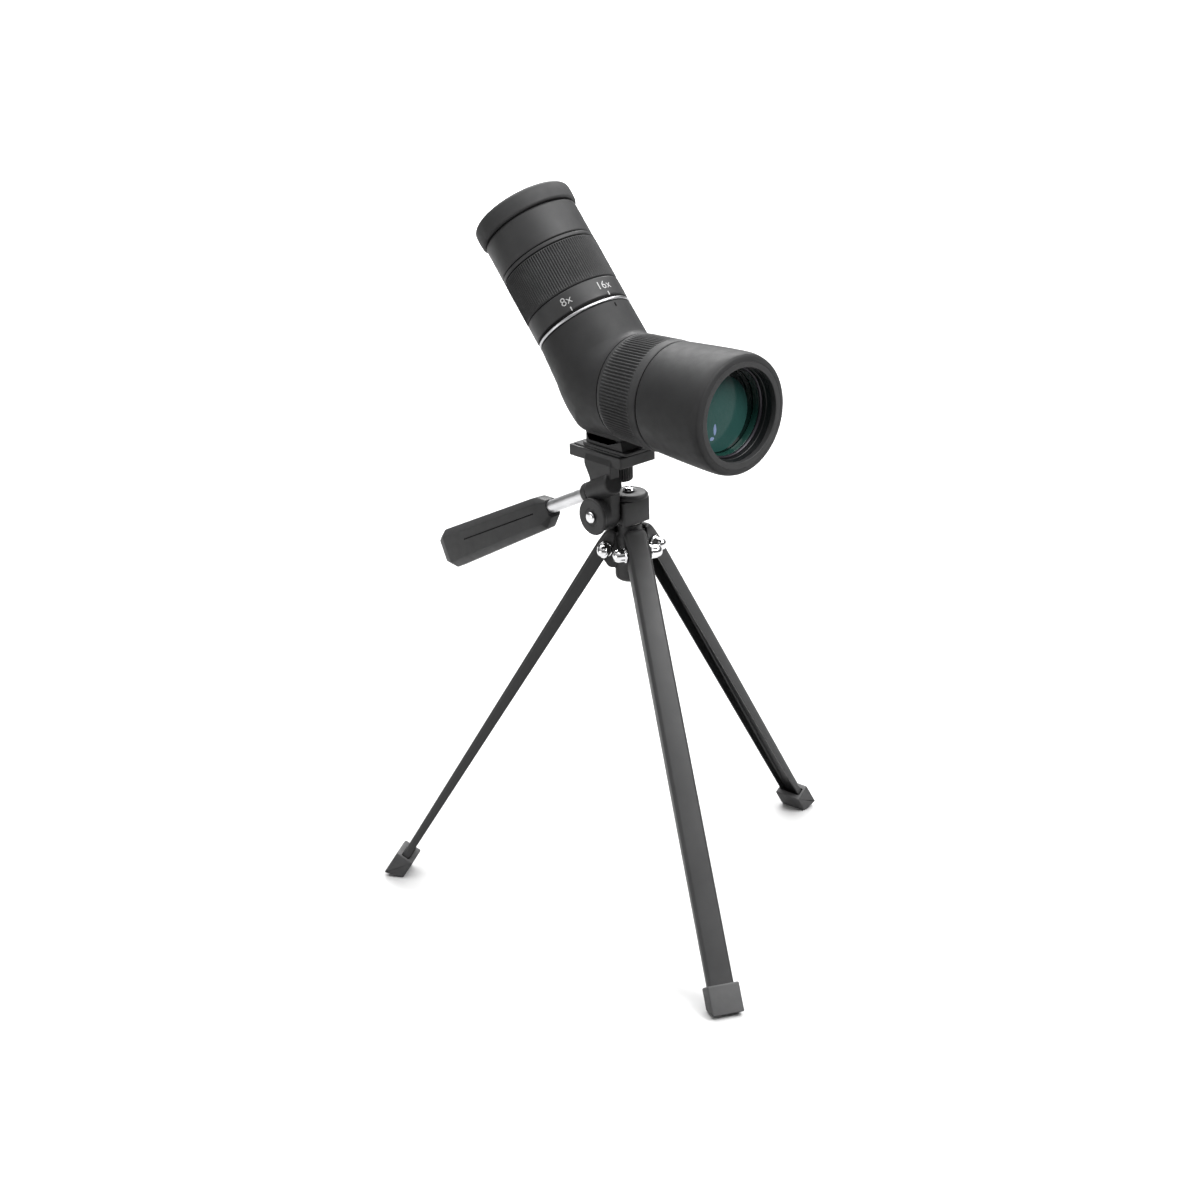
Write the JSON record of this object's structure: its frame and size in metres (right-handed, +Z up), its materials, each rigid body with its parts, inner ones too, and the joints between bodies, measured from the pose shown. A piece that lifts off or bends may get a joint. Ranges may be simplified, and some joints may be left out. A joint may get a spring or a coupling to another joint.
{
  "type": "spotting scope on mini tripod",
  "caption": "Angled zoom spotting scope with ribbed zoom and focus rings, on a folding mini tripod with pan-and-tilt head, chrome handle rod and rubber feet.",
  "frame": {"origin": "on the level surface under the feet, on the tripod column axis", "axes": "+Z up along the column; -Y is where the objective points; +X is to the right seen from behind the eyepiece"},
  "size_m": [0.2054, 0.2366, 0.339],
  "materials": {
    "armour": "fine-grained dark armour coat",
    "black_plastic": "satin moulded black plastic",
    "soft_rubber": "matte ribbed rubber",
    "black_anodised": "black anodised, matte",
    "silver_trim": "bright turned trim",
    "coated_glass": "green anti-reflection coating",
    "clear_glass": "clear polished glass",
    "painted_casting": "semi-matte black powder coat",
    "painted_leg": "satin black painted pressed steel",
    "chrome": "polished chrome plate",
    "steel": "plain turned steel",
    "brass": "plain turned brass",
    "nylon": "plain nylon",
    "grey_rubber": "soft dark grey rubber"
  },
  "bodies": {
    "tripod_base": {"leg_hub": "painted_casting", "pan_screw": "chrome", "pan_washer": "nylon", "leg_pin_front": "steel", "leg_pin_left": "steel", "leg_pin_right": "steel", "dome_nut_front_a": "chrome", "dome_nut_front_b": "chrome", "dome_nut_left_a": "chrome", "dome_nut_left_b": "chrome", "dome_nut_right_a": "chrome", "dome_nut_right_b": "chrome"},
    "pan_body": {"pan_base": "painted_casting", "pan_cap": "painted_casting", "tilt_screw": "chrome", "tilt_washer": "nylon", "tilt_disc": "painted_casting"},
    "tilt_body": {"tilt_platform": "painted_casting", "platform_pad": "soft_rubber", "mounting_foot": "black_plastic", "thread_insert": "brass", "prism_housing": "armour", "roof_prism": "clear_glass", "prism_holder": "black_anodised", "focus_sleeve": "black_anodised", "objective_barrel": "armour", "front_bezel": "black_plastic", "lens_retaining_ring": "black_anodised", "objective_lens_front": "coated_glass", "objective_lens_rear": "coated_glass", "lens_spacer": "black_anodised", "eyepiece_tube": "black_anodised", "trim_ring": "silver_trim", "ocular_barrel": "black_plastic", "field_lens": "clear_glass", "eye_lens": "coated_glass"},
    "pan_handle": {"handle_collar": "painted_casting", "handle_rod": "chrome", "handle_grip": "black_plastic"},
    "clamp_screw": {"camera_screw": "steel", "screw_knob": "black_plastic"},
    "focus_wheel": {"focus_ring": "soft_rubber"},
    "focus_carriage": {"focusing_cell": "black_anodised", "focusing_lens": "clear_glass"},
    "zoom_wheel": {"zoom_ring": "black_plastic", "zoom_grip": "soft_rubber", "grip_retainer": "black_plastic"},
    "zoom_carriage": {"zoom_cell": "black_anodised", "zoom_lens": "clear_glass"},
    "eyecup_slider": {"eyecup_carrier": "black_plastic"},
    "eyecup_twist": {"eyecup": "soft_rubber"},
    "front_leg": {"leg_front": "painted_leg", "foot_front": "grey_rubber"},
    "left_leg": {"leg_left": "painted_leg", "foot_left": "grey_rubber"},
    "right_leg": {"leg_right": "painted_leg", "foot_right": "grey_rubber"}
  },
  "joints": [
    {"name": "front_leg_fold", "type": "hinge", "parent": "tripod_base", "child": "front_leg", "pos_m": [-0.00455, -0.00958, 0.1766], "axis": [0.9033, -0.4289, 0], "range_deg": [0, 32.4]},
    {"name": "right_leg_fold", "type": "hinge", "parent": "tripod_base", "child": "right_leg", "pos_m": [0.01057, 0.00085, 0.1766], "axis": [-0.0802, 0.9968, 0], "range_deg": [0, 32.4]},
    {"name": "left_leg_fold", "type": "hinge", "parent": "tripod_base", "child": "left_leg", "pos_m": [-0.00602, 0.00873, 0.1766], "axis": [-0.8231, -0.5678, 0], "range_deg": [0, 32.4]},
    {"name": "pan_swivel", "type": "hinge", "parent": "tripod_base", "child": "pan_body", "pos_m": [0, 0, 0.195], "axis": [0, 0, 1], "continuous": true},
    {"name": "tilt_hinge", "type": "hinge", "parent": "pan_body", "child": "tilt_body", "pos_m": [-0.012, 0.003, 0.1952], "axis": [1, 0, 0], "range_deg": [-30, 28]},
    {"name": "handle_lock", "type": "hinge", "parent": "tilt_body", "child": "pan_handle", "pos_m": [-0.014, 0.003, 0.2073], "axis": [0, 0.9003, -0.4352], "range_deg": [0, 90]},
    {"name": "clamp_screw_turn", "type": "hinge", "parent": "tilt_body", "child": "clamp_screw", "pos_m": [-0.0036, 0.0006, 0.214], "axis": [0, 0, 1], "continuous": true},
    {"name": "focus_turn", "type": "hinge", "parent": "tilt_body", "child": "focus_wheel", "pos_m": [-0.0036, 0.0024, 0.2551], "axis": [0, -1, 0], "range_deg": [-135, 135]},
    {"name": "focus_travel", "type": "slide", "parent": "tilt_body", "child": "focus_carriage", "axis": [0, -1, 0], "range_m": [-0.0045, 0.0045]},
    {"name": "zoom_turn", "type": "hinge", "parent": "tilt_body", "child": "zoom_wheel", "pos_m": [-0.0036, 0.0024, 0.2551], "axis": [0, 0.6603, 0.751], "range_deg": [-51, 51]},
    {"name": "zoom_travel", "type": "slide", "parent": "tilt_body", "child": "zoom_carriage", "axis": [0, 0.6603, 0.751], "range_m": [-0.0062, 0.0062]},
    {"name": "eyecup_travel", "type": "slide", "parent": "tilt_body", "child": "eyecup_slider", "axis": [0, 0.6603, 0.751], "range_m": [0, 0.008]},
    {"name": "eyecup_turn", "type": "hinge", "parent": "eyecup_slider", "child": "eyecup_twist", "pos_m": [-0.0036, 0.0024, 0.2551], "axis": [0, 0.6603, 0.751], "range_deg": [0, 95]}
  ],
  "couplings": [
    {"joint": "focus_travel", "follows": "focus_turn", "m_per_rad": 0.0018},
    {"joint": "zoom_travel", "follows": "zoom_turn", "m_per_rad": 0.0067},
    {"joint": "eyecup_turn", "follows": "eyecup_travel", "rad_per_m": 196.35}
  ]
}
